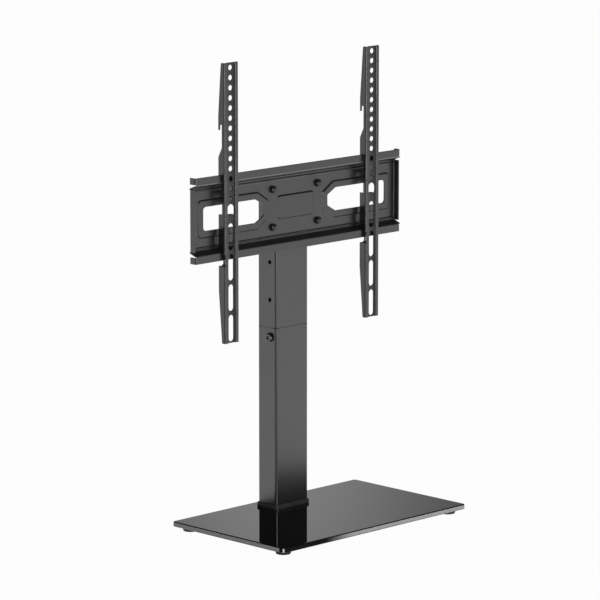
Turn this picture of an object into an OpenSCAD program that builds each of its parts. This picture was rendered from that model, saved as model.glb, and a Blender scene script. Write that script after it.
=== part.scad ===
// Tabletop television stand: a glass foot, a two-part telescoping column, and
// a pressed steel wall plate that carries two hooked arms.
// Frame: X to the right, Y to the back, Z up, millimetres. The origin is the
// middle of the footprint at floor level. The television side faces -Y.

/* [Glass base] */
// Width of the glass
glass_w = 403; // [360:1:480]
// Depth of the glass, front to back
glass_d = 242.5; // [232:0.5:300]
// Thickness of the glass
glass_t = 8; // [6:0.5:12]
// Radius of the glass corners, seen from above
glass_r = 5; // [3:0.5:12]
// Width of the polished bevel on the glass edges
glass_bevel = 1; // [0.5:0.25:1.5]
// Diameter of a rubber foot
foot_d = 24.5; // [18:0.5:34]
// Height of a rubber foot
foot_h = 6.5; // [6:0.5:12]
// Distance from the glass edges to the middle of a foot
foot_inset = 20; // [18:0.5:32]

/* [Column] */
// Outer width of the column
col_w = 70; // [64:1:80]
// Outer depth of the column
col_d = 40; // [36:1:46]
// Outer corner radius of the column
col_r = 3.5; // [3:0.5:6]
// Wall of the upper tube of the column
col_wall = 2.5; // [2:0.1:3]
// Distance from the back edge of the glass to the middle of the column
col_inset = 39.25; // [38:0.25:56]
// Height of the joint line between the two tubes, above the glass
seam_h = 286.7; // [270:0.1:300]
// Height of the top of the column above the glass, with its cap
col_top_h = 520; // [515:1:526]
// Wall of the inner tube
inner_wall = 2; // [1.5:0.1:2.5]
// Height of the lower end of the inner tube above the glass
inner_low_h = 90; // [80:1:110]
// Height of the upper end of the inner tube above the glass
inner_top_h = 408; // [405:1:420]
// How far the upper half of the stand can be raised
lift = 118; // [90:1:120]

/* [Side holes] */
// Diameter of the plain holes in the side of the column
side_hole_d = 6.8; // [5:0.1:8]
// Distance between one side hole and the next
side_pitch = 59; // [52:0.5:62]
// Height of the clamp bolt above the glass
clamp_h = 271.3; // [255:0.1:273]
// Distance from the front of the column back to the side holes
side_inset = 13.6; // [12:0.1:16]
// Thread diameter of the clamp bolt
clamp_d = 8; // [6:0.5:8]
// Diameter of the clamp bolt's head
clamp_head_d = 14.5; // [12:0.5:16]
// Height of the clamp bolt's head
clamp_head_h = 4.4; // [3:0.1:5]

/* [Foot trim] */
// How far the trim ring stands out from the column
trim_out = 3; // [2:0.5:5]
// Height of the trim ring
trim_h = 6.5; // [5:0.5:10]
// Radius of the trim ring's top edge
trim_edge = 2.2; // [1:0.1:2.5]

/* [Wall plate] */
// Length of the wall plate
plate_l = 444.6; // [430:0.2:470]
// Height of the wall plate over its two rails
plate_h = 130.6; // [126:0.2:140]
// Height of the middle of the wall plate above the glass
plate_mid_h = 477; // [474:0.5:480]
// Thickness of the plate's sheet
sheet_t = 2; // [1.5:0.1:2.2]
// Depth from the front of the rails to the front of the web
plate_depth = 11.6; // [10:0.1:12]
// Height of a rail
rail_h = 12.3; // [11:0.1:13]
// Height of the sloping shelf between a rail and the web
shelf_drop = 4.6; // [3:0.1:6]
// How far the end flanges stand forward from the web
end_flange = 9.2; // [6:0.1:9.4]
// How far the end tabs of the rails reach back
end_tab = 11; // [8:0.5:11]
// Height of an end tab
end_tab_h = 10; // [8:0.2:10.5]
// Height of the pressed panel and rings above the web
emboss_h = 1.6; // [1:0.1:1.8]

/* [Plate windows] */
// Distance from the middle of the plate to the inner end of a window
window_in = 69; // [67:0.5:74]
// Distance from the middle of the plate to the outer end of a window
window_out = 197; // [190:0.5:200]
// Height of a window
window_h = 36.6; // [32:0.2:40]
// Length of the sloping corners at the inner end of a window
window_cut_l = 18; // [12:0.5:22]
// Height of the sloping corners at the inner end of a window
window_cut_h = 10; // [6:0.5:12]
// Corner radius at the outer end of a window
window_r = 5.5; // [4:0.5:8]
// Width of the pressed ring round a window
ring_w = 12.2; // [9:0.2:12.4]
// Half the width of the pressed middle panel
panel_half_w = 40.5; // [36:0.5:41]
// Height of the pressed middle panel
panel_h = 40; // [34:0.5:42]

/* [Plate fixings] */
// Distance between the plate bolts, left to right
bolt_span_x = 97.2; // [94:0.2:100]
// Distance between the plate bolts, top to bottom
bolt_span_z = 58.6; // [56:0.2:62]
// Thread diameter of the plate bolts
bolt_d = 6; // [5:0.5:8]
// Width of a plate bolt's hexagon across its flats
bolt_af = 10; // [9:0.5:11]
// Height of a plate bolt's head
bolt_head_h = 4; // [3:0.1:4]
// Thickness of the head plate that is welded to the column
head_t = 5; // [4:0.5:7]
// Width of the head plate
head_w = 118; // [114:1:120]
// Height of the head plate
head_h = 80; // [76:1:84]

/* [Arms] */
// Length of an arm
arm_l = 427.5; // [420:0.5:440]
// Width of an arm
arm_w = 30; // [29:0.5:32]
// Thickness of the arm's sheet
arm_t = 1.5; // [1.2:0.1:2]
// Distance from the middle of the plate to the middle of an arm
arm_x = 153; // [140:1:165]
// Height of the lower end of an arm above the glass
arm_low_h = 284; // [280:0.5:288]
// Width of the two flat lands beside the arm's sunk middle
arm_land = 6.4; // [5:0.1:6.6]
// How deep the middle of the arm's face is sunk
arm_sink = 2; // [0.8:0.1:2.2]
// Depth of the side flanges, from the face to their back edge
flange_d = 13.1; // [12.6:0.1:13.4]
// Depth of the side flanges where they pass the rails
flange_thin = 5.6; // [5:0.1:6]
// Play between an arm and the rails
hook_gap = 0.5; // [0.3:0.1:1]

/* [Television holes] */
// Number of round holes in an arm
hole_count = 14; // [12:1:14]
// Diameter of a round hole
hole_d = 8.5; // [8:0.1:10]
// Distance between one round hole and the next
hole_pitch = 15.3; // [14.8:0.1:15.5]
// Distance from the top of an arm to its first round hole
hole_top = 7.7; // [6:0.1:9]
// Width of the arched opening below the round holes
arch_w = 14.4; // [12:0.2:14.8]
// Height of the arched opening
arch_h = 16.2; // [14:0.2:18]
// How far the lug under the arched opening is bent back
lug_reach = 9; // [6:0.5:10]
// Number of slots in an arm
slot_count = 4; // [3:1:4]
// Width of a slot
slot_w = 10.6; // [9:0.1:11]
// Length of a slot from end to end
slot_l = 40.8; // [32:0.1:42]
// Distance between one slot and the next
slot_pitch = 46.8; // [45:0.1:47]
// Distance from the lower end of an arm to the middle of its last slot
slot_low = 22.7; // [22:0.1:24]

/* [Lock screws] */
// Thread diameter of a lock screw
lock_d = 3; // [2.5:0.5:3]
// Distance from the middle of the arm to the lock screw
lock_side = 9.6; // [9.4:0.1:9.8]
// Height of the gap under the lower rail that a lock screw bridges
lock_bridge = 8.8; // [8:0.1:10]
// How far a lock screw is turned down to free the arm
lock_travel = 7; // [4:0.5:7]

/* [Hidden] */
$fn = 64;

// One overrun serves every cut
over = 1;
// Smallest inner radius of a tube
least_r = 0.5;
// Play of a screw in the hole that holds it
thread_gap = 0.05;
// Play of a screw in the hole that it passes through
pass_gap = 0.5;
// Play between the inner tube and the lower tube
slide_gap = 0.3;
// Turn of one step along a bend or a round corner
step_turn = 15;
// Steps along the round top of the clamp bolt
dome_steps = 6;
// Facets of the round corners that are blended
blend_fn = 32;

// Heights above the floor
glass_top = foot_h + glass_t;
seam_z = glass_top + seam_h;
clamp_z = glass_top + clamp_h;
col_top_z = glass_top + col_top_h;
plate_z = glass_top + plate_mid_h;
arm_low_z = glass_top + arm_low_h;
arm_top_z = arm_low_z + arm_l;

// Base fixings
screw_d = 6;
screw_head_d = 10;
screw_head_h = 2.6;
screw_socket_af = 4;
screw_socket_h = 1.4;
screw_span_share = 0.62;
screw_depth_share = 0.4;
screw_span_x = screw_span_share * col_w;
screw_span_y = screw_depth_share * col_d;
bush_wall = 2;
pad_t = 1;
clamp_plate_t = 2;
clamp_plate_rim = 14;
clamp_plate_r = 8;
foot_block_h = 10;
foot_rim = 2;
foot_chamfer = 1;

// Column
col_y = glass_d / 2 - col_inset;
inner_w = col_w - 2 * col_wall;
inner_d = col_d - 2 * col_wall;
inner_r = col_r - col_wall;
lower_wall = col_wall - slide_gap;
seam_gap = 0.3;
cap_t = 3;
cap_edge = 1.5;
cap_skirt_h = 10;
cap_skirt_wall = 2;
cap_play = 0.2;
col_front = col_y - col_d / 2;
side_y = col_front + side_inset;
clamp_slot_w = clamp_d + 2 * pass_gap;
clamp_socket_af = 5;
clamp_socket_h = 2.5;
nut_w = 16;
nut_h = 30;
nut_t = 6;
dome_run = 2.4;
dome_rise = 0.6;

// Wall plate, in depth from the front of the rails
web_front = col_front - head_t - sheet_t;
rail_front = web_front - plate_depth;
rail_mid_y = rail_front + sheet_t / 2;
web_mid_y = web_front + sheet_t / 2;
bend_r = 2;
tight_bend = 0.2;
rail_low = plate_h / 2 - rail_h;
web_half = rail_low - shelf_drop;
bead_off = 3.2;
bead_w = 3;
bead_h = 1;
end_round = bend_r + sheet_t / 2;
end_lead = 6;
flange_gap = 0.8;
emboss_run = 3.2;
ring_cut_share = 0.4;
ring_end_r = 8;
ring_r = 4;
panel_r = 6;
cut_r = 3;

// Plate fixings
washer_d = 12.5;
washer_t = 0.8;
bolt_nut_h = 5;
bolt_tail = 2;

// Arms, in depth from the front of the face
arm_front = rail_front - hook_gap - flange_thin;
arm_step = 1;
arm_bend = 1.4;
hook_tooth = 2.9;
hook_drop = 8.5;
// Where the flanges change, as shares of the arm above the upper rail and below the lower one
widen_share = 0.48;
tooth_share = 0.6;
slope_share = 0.755;
taper_share = 0.636;
slope_rate = 2;
tip_step = 1;
tip_flange = 1;
tip_h = 6;
tail_flange = 2;
tail_step = 1;
tail_h = 14.5;
notch_rise = 5;
neck_ease = 1.5;
fine_r = 1;
tooth_r = 1.3;
mild_r = 2;
wide_r = 3;
rail_top_z = plate_z + plate_h / 2;
rail_bottom_z = plate_z - plate_h / 2;
ledge_t = 3;
ledge_ease = 0.4;
lock_tip_gap = 0.3;
lock_af_share = 1.83;
lock_af = lock_af_share * lock_d;
lock_nut_share = 0.8;
lock_socket_share = 0.83;
lock_window_h = 17.6;
lock_spare = 3;
lock_below = lock_travel + lock_spare;

function unit(v) = v / norm(v);
function cross2(a, b) = a.x * b.y - a.y * b.x;
function normal(v) = [-v.y, v.x];

// Points along the round corner of radius r at b, between a and c
function round_corner(a, b, c, r) =
    let (
        u = unit(b - a),
        w = unit(c - b),
        turn = atan2(cross2(u, w), u * w),
        side = sign(turn),
        steps = max(2, round(abs(turn) / step_turn)),
        start = b - u * r * tan(abs(turn) / 2),
        middle = start + side * r * normal(u)
    )
    [for (i = [0 : steps])
        let (angle = turn * i / steps, spoke = start - middle)
        middle + [spoke.x * cos(angle) - spoke.y * sin(angle),
                  spoke.x * sin(angle) + spoke.y * cos(angle)]];

// Closed outline with a radius at each corner, 0 for a sharp one
function rounded(points, radii) =
    let (n = len(points))
    [for (i = [0 : n - 1])
        let (a = points[(i + n - 1) % n], b = points[i], c = points[(i + 1) % n])
        each radii[i] > 0 ? round_corner(a, b, c, radii[i]) : [b]];

// Open line with a round bend at each inner point, of the radius given for it
function bent(points, radii) =
    let (last = len(points) - 1)
    [for (i = [0 : last])
        each i == 0 || i == last ? [points[i]]
            : round_corner(points[i - 1], points[i], points[i + 1], radii[i])];

// The line moved sideways by d, mitred at each point
function moved(line, d) =
    let (last = len(line) - 1)
    [for (i = [0 : last])
        let (
            a = unit(line[max(i, 1)] - line[max(i, 1) - 1]),
            b = unit(line[min(i + 1, last)] - line[min(i + 1, last) - 1]),
            n = unit(normal(a + b))
        )
        line[i] + n * d / (n * normal(a))];

function reversed(list) = [for (i = [len(list) - 1 : -1 : 0]) list[i]];

// Section of sheet of thickness t whose middle follows the line
function sheet(line, t) = concat(moved(line, t / 2), reversed(moved(line, -t / 2)));

// Solid between two outlines of as many points, the second at height h
module loft(lower, upper, h) {
    n = len(lower);
    polyhedron(
        points = concat([for (p = lower) [p.x, p.y, 0]], [for (p = upper) [p.x, p.y, h]]),
        faces = concat(
            [[for (i = [0 : n - 1]) i]],
            [[for (i = [n - 1 : -1 : 0]) n + i]],
            [for (i = [0 : n - 1]) let (j = (i + 1) % n) each [[i, n + i, n + j], [i, n + j, j]]]
        )
    );
}

// Rectangle with true round corners, centred
module round_rect(w, d, r) {
    square([w - 2 * r, d], center = true);
    square([w, d - 2 * r], center = true);
    for (x = [-1, 1], y = [-1, 1]) {
        translate([x * (w / 2 - r), y * (d / 2 - r)]) circle(r);
    }
}

module tube(w, d, r, wall, h) {
    linear_extrude(h) difference() {
        round_rect(w, d, r);
        round_rect(w - 2 * wall, d - 2 * wall, max(r - wall, least_r));
    }
}

module hexagon(af, h) {
    cylinder(d = af / cos(30), h = h, $fn = 6);
}

// Places the children at the corners of a rectangle
module corners(w, d) {
    for (x = [-1, 1], y = [-1, 1]) {
        translate([x * w / 2, y * d / 2]) children();
    }
}

// Turns a shape drawn in X and Z, extruded towards -Y, to its place at depth y
module at_depth(y) {
    translate([0, y, 0]) rotate([90, 0, 0]) children();
}

// A shape drawn in Y and Z, extruded along X and centred there
module along_x(length) {
    translate([-length / 2, 0, 0]) rotate([90, 0, 90]) linear_extrude(length) children();
}

// Glass base

module glass_bevelled(size, other) {
    cut = glass_bevel;
    polygon([
        [-size / 2 + cut, 0], [size / 2 - cut, 0], [size / 2, cut], [size / 2, glass_t - cut],
        [size / 2 - cut, glass_t], [-size / 2 + cut, glass_t], [-size / 2, glass_t - cut], [-size / 2, cut]
    ]);
}

module glass_base() {
    color([0.02, 0.02, 0.022]) translate([0, 0, foot_h]) difference() {
        intersection() {
            linear_extrude(glass_t) round_rect(glass_w, glass_d, glass_r);
            along_x(glass_w) glass_bevelled(glass_d);
            translate([0, glass_d / 2, 0]) rotate([90, 0, 0])
                linear_extrude(glass_d) glass_bevelled(glass_w);
        }
        translate([0, col_y, -over]) corners(screw_span_x, screw_span_y)
            cylinder(d = screw_d + 2 * bush_wall, h = glass_t + 2 * over);
    }
}

module foot(x, y) {
    color([0.06, 0.06, 0.06])
    translate([x * (glass_w / 2 - foot_inset), y * (glass_d / 2 - foot_inset), 0])
    rotate_extrude() polygon([
        [0, 0], [foot_d / 2 - foot_rim, 0], [foot_d / 2 - foot_rim + foot_chamfer, foot_chamfer],
        [foot_d / 2, foot_h - foot_chamfer], [foot_d / 2, foot_h], [0, foot_h]
    ]);
}

module foot_front_left() { foot(-1, -1); }
module foot_front_right() { foot(1, -1); }
module foot_back_left() { foot(-1, 1); }
module foot_back_right() { foot(1, 1); }

module base_screw_holes(h) {
    translate([0, 0, -over]) corners(screw_span_x, screw_span_y)
        cylinder(d = screw_d + 2 * pass_gap, h = h + 2 * over);
}

module pad_over_glass() {
    color([0.05, 0.05, 0.05]) translate([0, col_y, glass_top]) difference() {
        linear_extrude(pad_t) round_rect(col_w, col_d, col_r);
        base_screw_holes(pad_t);
    }
}

module pad_under_glass() {
    color([0.05, 0.05, 0.05]) translate([0, col_y, foot_h - pad_t]) difference() {
        linear_extrude(pad_t)
            round_rect(col_w + 2 * clamp_plate_rim, col_d + 2 * clamp_plate_rim, clamp_plate_r);
        base_screw_holes(pad_t);
    }
}

module glass_bushes() {
    color([0.1, 0.1, 0.1]) translate([0, col_y, foot_h]) corners(screw_span_x, screw_span_y)
        difference() {
            cylinder(d = screw_d + 2 * bush_wall, h = glass_t);
            translate([0, 0, -over]) cylinder(d = screw_d + 2 * pass_gap, h = glass_t + 2 * over);
        }
}

clamp_plate_z = foot_h - pad_t - clamp_plate_t;

module clamp_plate() {
    color([0.15, 0.15, 0.15]) translate([0, col_y, clamp_plate_z]) difference() {
        linear_extrude(clamp_plate_t)
            round_rect(col_w + 2 * clamp_plate_rim, col_d + 2 * clamp_plate_rim, clamp_plate_r);
        base_screw_holes(clamp_plate_t);
    }
}

foot_block_z = glass_top + pad_t;

module base_screws() {
    length = foot_block_z + foot_block_h - clamp_plate_z;
    color([0.2, 0.2, 0.2]) translate([0, col_y, clamp_plate_z]) corners(screw_span_x, screw_span_y)
        difference() {
            union() {
                cylinder(d = screw_d, h = length);
                translate([0, 0, -screw_head_h]) cylinder(d = screw_head_d, h = screw_head_h);
            }
            translate([0, 0, -screw_head_h - over]) hexagon(screw_socket_af, screw_socket_h + over);
        }
}

// Column

module foot_block() {
    color([0.15, 0.15, 0.15]) translate([0, col_y, foot_block_z]) difference() {
        linear_extrude(foot_block_h)
            round_rect(col_w - 2 * lower_wall, col_d - 2 * lower_wall, col_r - lower_wall);
        translate([0, 0, -over]) corners(screw_span_x, screw_span_y)
            cylinder(d = screw_d + 2 * thread_gap, h = foot_block_h + 2 * over);
    }
}

module trim_body() {
    r = col_r + trim_out;
    w = col_w + 2 * trim_out;
    d = col_d + 2 * trim_out;
    hull() corners(w - 2 * r, d - 2 * r) rotate_extrude($fn = blend_fn) {
        square([r, trim_h - trim_edge]);
        square([r - trim_edge, trim_h]);
        translate([r - trim_edge, trim_h - trim_edge]) intersection() {
            circle(trim_edge);
            square(trim_edge);
        }
    }
}

module column_trim() {
    color([0.05, 0.05, 0.055]) translate([0, col_y, glass_top]) difference() {
        trim_body();
        translate([0, 0, -over]) linear_extrude(trim_h + 2 * over)
            round_rect(col_w + 2 * cap_play, col_d + 2 * cap_play, col_r + cap_play);
    }
}

// A hole through the left wall of a tube whose outer width is w
module left_hole(w, d, z) {
    translate([-w / 2 - over, side_y - col_y, z]) rotate([0, 90, 0])
        cylinder(d = d, h = col_wall + 2 * over);
}

module column_lower() {
    h = seam_z - glass_top - pad_t;
    color([0.16, 0.16, 0.165]) translate([0, col_y, glass_top + pad_t]) difference() {
        tube(col_w, col_d, col_r, lower_wall, h);
        left_hole(col_w, clamp_d + 2 * thread_gap, clamp_z - glass_top - pad_t);
    }
}

nut_x = -inner_w / 2 + inner_wall + slide_gap;

module clamp_nut() {
    color([0.25, 0.25, 0.25]) difference() {
        translate([nut_x, side_y - nut_w / 2, clamp_z - nut_h / 2]) cube([nut_t, nut_w, nut_h]);
        translate([nut_x - over, side_y, clamp_z]) rotate([0, 90, 0])
            cylinder(d = clamp_d + 2 * thread_gap, h = nut_t + 2 * over);
    }
}

module clamp_bolt() {
    flat_r = clamp_head_d / 2 - dome_run;
    length = nut_x + nut_t + col_w / 2;
    color([0.04, 0.04, 0.04]) translate([-col_w / 2, side_y, clamp_z]) rotate([0, 90, 0]) difference() {
        rotate_extrude() polygon(concat(
            [[0, -clamp_head_h], [flat_r, -clamp_head_h]],
            [for (i = [1 : dome_steps])
                let (angle = 90 * i / dome_steps)
                [flat_r + dome_run * sin(angle),
                 -clamp_head_h + (clamp_head_h - dome_rise) * (1 - cos(angle))]],
            [[clamp_head_d / 2, 0], [clamp_d / 2, 0], [clamp_d / 2, length], [0, length]]
        ));
        translate([0, 0, -clamp_head_h - over]) hexagon(clamp_socket_af, clamp_socket_h + over);
    }
}

module column_upper() {
    z = seam_z + seam_gap;
    color([0.16, 0.16, 0.165]) translate([0, col_y, z]) difference() {
        tube(col_w, col_d, col_r, col_wall, col_top_z - cap_t - z);
        for (i = [1, 2]) {
            left_hole(col_w, side_hole_d, clamp_z + i * side_pitch - z);
        }
    }
}

module inner_tube() {
    low = glass_top + inner_low_h;
    color([0.2, 0.2, 0.2]) translate([0, col_y, low]) difference() {
        tube(inner_w, inner_d, inner_r, inner_wall, inner_top_h - inner_low_h);
        for (i = [1, 2]) {
            left_hole(inner_w, side_hole_d, clamp_z + i * side_pitch - low);
        }
        left_hole(inner_w, clamp_slot_w, clamp_z - low);
        left_hole(inner_w, clamp_slot_w, clamp_z - lift - low);
        translate([-inner_w / 2 - over, side_y - col_y - clamp_slot_w / 2, clamp_z - lift - low])
            cube([inner_wall + 2 * over, clamp_slot_w, lift]);
    }
}

module column_cap() {
    w = inner_w - 2 * cap_play;
    d = inner_d - 2 * cap_play;
    color([0.05, 0.05, 0.055]) translate([0, col_y, col_top_z - cap_t]) {
        hull() corners(col_w - 2 * col_r, col_d - 2 * col_r) rotate_extrude($fn = blend_fn) {
            square([col_r, cap_t - cap_edge]);
            square([col_r - cap_edge, cap_t]);
        }
        translate([0, 0, -cap_skirt_h]) tube(w, d, inner_r, cap_skirt_wall, cap_skirt_h);
    }
}

// Head plate and wall plate

// Places the children at the four plate bolts, their +Z towards the front
module at_bolts(y) {
    at_depth(y) translate([0, plate_z]) corners(bolt_span_x, bolt_span_z) children();
}

module head_plate() {
    color([0.15, 0.15, 0.15]) difference() {
        at_depth(col_front) translate([0, plate_z])
            linear_extrude(head_t) round_rect(head_w, head_h, panel_r);
        at_bolts(col_front + over) cylinder(d = bolt_d + 2 * thread_gap, h = head_t + 2 * over);
    }
}

// Middle line of the tray's section, as depth and height, from the top down
function tray_line() =
    let (
        bead = [[web_mid_y, 0], [web_mid_y - bead_h, -bead_w / 2], [web_mid_y, -bead_w]],
        top = web_half - bead_off,
        upper = concat(
            [[rail_mid_y, plate_h / 2], [rail_mid_y, rail_low], [web_mid_y, web_half]],
            [for (p = bead) [p.x, p.y + top]]
        )
    )
    concat(upper, reversed([for (p = upper) [p.x, -p.y]]));

module tray_section() {
    tight = sheet_t / 2 + tight_bend;
    upper = [0, bend_r, bend_r, tight, tight, tight];
    polygon(sheet(bent(tray_line(), concat(upper, reversed(upper))), sheet_t));
}

module shelf_zone() {
    band = rail_low - web_half + sheet_t;
    for (z = [rail_low + sheet_t / 2, -web_half + sheet_t / 2]) {
        translate([rail_front - over, z - band]) square([plate_depth + sheet_t + 2 * over, band]);
    }
}

// A strip that runs to the end of the tray and turns by a right angle
module end_strip(y, reach, low, high) {
    end = plate_l / 2 - sheet_t / 2;
    line = [[plate_l / 2 - end_lead, y], [end, y], [end, y + reach]];
    for (side = [0, 1]) mirror([side, 0, 0]) translate([0, 0, low])
        linear_extrude(high - low) polygon(sheet(bent(line, [0, bend_r, 0]), sheet_t));
}

// Outline with sloping corners at its inner end, for a window or a ring
function window_outline(grow, cut_l, cut_h, in_r, out_r) =
    let (
        x0 = window_in - grow,
        x1 = window_out + grow,
        z = window_h / 2 + grow,
        side = z - cut_h
    )
    rounded(
        [[x0, -side], [x0 + cut_l, -z], [x1, -z], [x1, z], [x0 + cut_l, z], [x0, side]],
        [in_r, in_r, out_r, out_r, in_r, in_r]
    );

function panel_outline(inset) =
    let (x = panel_half_w - inset, z = panel_h / 2 - inset, r = panel_r - inset)
    rounded([[-x, -z], [x, -z], [x, z], [-x, z]], [r, r, r, r]);

ring_cut_l = window_cut_l + ring_cut_share * ring_w;
ring_cut_h = window_cut_h + ring_cut_share * ring_w;

// The pressed ring and panel, raised towards the front from depth y
module pressed_shapes(y, h) {
    for (side = [0, 1]) mirror([side, 0, 0]) at_depth(y) translate([0, plate_z]) loft(
        window_outline(ring_w, ring_cut_l, ring_cut_h, ring_r, ring_end_r),
        window_outline(ring_w - emboss_run, ring_cut_l, ring_cut_h, ring_r, ring_end_r - emboss_run),
        h
    );
    at_depth(y) translate([0, plate_z]) loft(panel_outline(0), panel_outline(emboss_run), h);
}

module wall_plate() {
    color([0.17, 0.17, 0.175]) difference() {
        union() {
            translate([0, 0, plate_z]) {
                along_x(plate_l - 2 * end_round) tray_section();
                along_x(plate_l) intersection() {
                    tray_section();
                    shelf_zone();
                }
                for (side = [-1, 1]) {
                    low = side > 0 ? plate_h / 2 - end_tab_h : -plate_h / 2;
                    end_strip(rail_mid_y, end_tab, low, low + end_tab_h);
                }
                end_strip(
                    web_mid_y, -end_flange - sheet_t / 2, -web_half + flange_gap, web_half - flange_gap
                );
            }
            pressed_shapes(web_front + sheet_t / 2, emboss_h + sheet_t / 2);
        }
        pressed_shapes(web_front + sheet_t + over, emboss_h + over);
        for (side = [0, 1]) mirror([side, 0, 0]) at_depth(web_front + sheet_t + over)
            translate([0, plate_z]) linear_extrude(sheet_t + emboss_h + 2 * over)
                polygon(window_outline(0, window_cut_l, window_cut_h, cut_r, window_r));
        at_bolts(web_front + sheet_t + over) cylinder(d = bolt_d + 2 * pass_gap, h = sheet_t + 2 * over);
    }
}

module plate_bolts() {
    length = washer_t + sheet_t + head_t + bolt_nut_h + bolt_tail;
    color([0.05, 0.05, 0.05]) at_bolts(web_front - washer_t) {
        hexagon(bolt_af, bolt_head_h);
        translate([0, 0, -length]) cylinder(d = bolt_d, h = length);
    }
}

module plate_washers() {
    color([0.05, 0.05, 0.05]) at_bolts(web_front) difference() {
        cylinder(d = washer_d, h = washer_t);
        translate([0, 0, -over]) cylinder(d = bolt_d + 2 * thread_gap, h = washer_t + 2 * over);
    }
}

module plate_nuts() {
    color([0.2, 0.2, 0.2]) at_bolts(col_front + bolt_nut_h) difference() {
        hexagon(bolt_af, bolt_nut_h);
        translate([0, 0, -over]) cylinder(d = bolt_d + 2 * thread_gap, h = bolt_nut_h + 2 * over);
    }
}

// Arms

// Middle line of the arm's section, as width and depth from its face
function arm_line() =
    let (
        x = arm_w / 2 - arm_t / 2,
        land = arm_w / 2 - arm_land,
        face = arm_t / 2
    )
    [
        [-x, flange_d + over], [-x, face], [-land, face], [-land + arm_step, face + arm_sink],
        [land - arm_step, face + arm_sink], [land, face], [x, face], [x, flange_d + over]
    ];

module arm_section() {
    tight = arm_t / 2 + tight_bend;
    half = [0, arm_bend, tight, tight];
    polygon(sheet(bent(arm_line(), concat(half, reversed(half))), arm_t));
}

// Side outline of an arm, as depth from its face and height above the floor
function arm_outline() =
    let (
        back = flange_d,
        neck = flange_thin,
        low_neck = neck - neck_ease,
        lip = neck + hook_gap + sheet_t + hook_gap,
        top = arm_top_z,
        low = arm_low_z,
        above = top - rail_top_z,
        below = rail_bottom_z - low,
        widen = top - widen_share * above,
        tooth = top - tooth_share * above,
        notch = tooth + hook_drop,
        slope = top - slope_share * above,
        full = slope - slope_rate * (back - neck),
        rail = rail_top_z + hook_gap,
        catch_low = rail_top_z - hook_drop,
        window = plate_z + notch_rise,
        shelf = plate_z - web_half + hook_gap,
        lower = rail_bottom_z - lock_bridge,
        taper = low + taper_share * below
    )
    rounded(
        [
            [0, low], [0, top], [neck + tip_flange, top], [neck + tip_flange + tip_step, top - tip_h],
            [back, widen], [back, tooth], [back - hook_tooth, tooth], [back - hook_tooth, notch],
            [neck, notch], [neck, slope], [back, full], [back, catch_low],
            [lip, catch_low], [lip, rail], [neck, rail], [neck, window],
            [back, window], [back, shelf], [low_neck, shelf], [low_neck, lower],
            [back, lower], [back, taper], [neck + tail_flange, low + tail_h], [neck + tail_step, low]
        ],
        [
            0, 0, fine_r, mild_r,
            mild_r, tooth_r, tooth_r, mild_r,
            mild_r, wide_r, wide_r, fine_r,
            fine_r, fine_r, 0, fine_r,
            fine_r, fine_r, 0, fine_r,
            fine_r, wide_r, mild_r, mild_r
        ]
    );

function hole_z(i) = arm_top_z - hole_top - i * hole_pitch;
function slot_z(i) = arm_low_z + slot_low + i * slot_pitch;

arch_top_z = hole_z(hole_count) + arch_w / 2;
lug_top_z = arch_top_z - arch_h;

// The arched opening, drawn from its top downwards
module arch_shape() {
    translate([0, -arch_w / 2]) circle(d = arch_w);
    translate([-arch_w / 2, -arch_h]) square([arch_w, arch_h - arch_w / 2]);
}

module slot_shape() {
    square([slot_w, slot_l - slot_w], center = true);
    for (end = [-1, 1]) {
        translate([0, end * (slot_l - slot_w) / 2]) circle(d = slot_w);
    }
}

// What the right flange lacks behind the notch, and the gap beside the lock screw
module flange_cuts() {
    translate([0, flange_d - hook_tooth, arm_low_z - over])
        cube([arm_w, hook_tooth + over, arm_l + 2 * over]);
    translate([-arm_w / 2 - over, -over, rail_bottom_z - lock_bridge])
        cube([arm_bend + arm_t / 2 + over, flange_d + 2 * over, lock_window_h]);
}

module arm(x) {
    color([0.17, 0.17, 0.175]) translate([x, arm_front, 0]) difference() {
        union() {
            intersection() {
                translate([0, 0, arm_low_z]) linear_extrude(arm_l) arm_section();
                along_x(arm_w + 2 * over) polygon(arm_outline());
            }
            translate([-arch_w / 2, arm_sink, lug_top_z - arm_t]) cube([arch_w, lug_reach, arm_t]);
        }
        flange_cuts();
        at_depth(arm_sink + arm_t + over) linear_extrude(arm_sink + arm_t + 2 * over) {
            for (i = [0 : hole_count - 1]) {
                translate([0, hole_z(i)]) circle(d = hole_d);
            }
            translate([0, arch_top_z]) arch_shape();
            for (i = [0 : slot_count - 1]) {
                translate([0, slot_z(i)]) slot_shape();
            }
        }
    }
}

module arm_left() { arm(-arm_x); }
module arm_right() { arm(arm_x); }

// Lock screws

lock_y = rail_mid_y;
ledge_top_z = rail_bottom_z - lock_bridge;
ledge_w = arm_w / 2 - arm_t - slot_w / 2 - ledge_ease;
ledge_front = arm_front + arm_sink + arm_t;
ledge_back = arm_front + flange_d;

module lock_ledge(x) {
    color([0.15, 0.15, 0.15]) difference() {
        translate([x - arm_w / 2 + arm_t, ledge_front, ledge_top_z - ledge_t])
            cube([ledge_w, ledge_back - ledge_front, ledge_t]);
        translate([x - lock_side, lock_y, ledge_top_z - ledge_t - over])
            cylinder(d = lock_d + 2 * thread_gap, h = ledge_t + 2 * over);
    }
}

module lock_nut(x) {
    lock_nut_h = lock_nut_share * lock_d;
    color([0.08, 0.08, 0.08]) translate([x - lock_side, lock_y, ledge_top_z]) difference() {
        hexagon(lock_af, lock_nut_h);
        translate([0, 0, -over]) cylinder(d = lock_d + 2 * thread_gap, h = lock_nut_h + 2 * over);
    }
}

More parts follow.
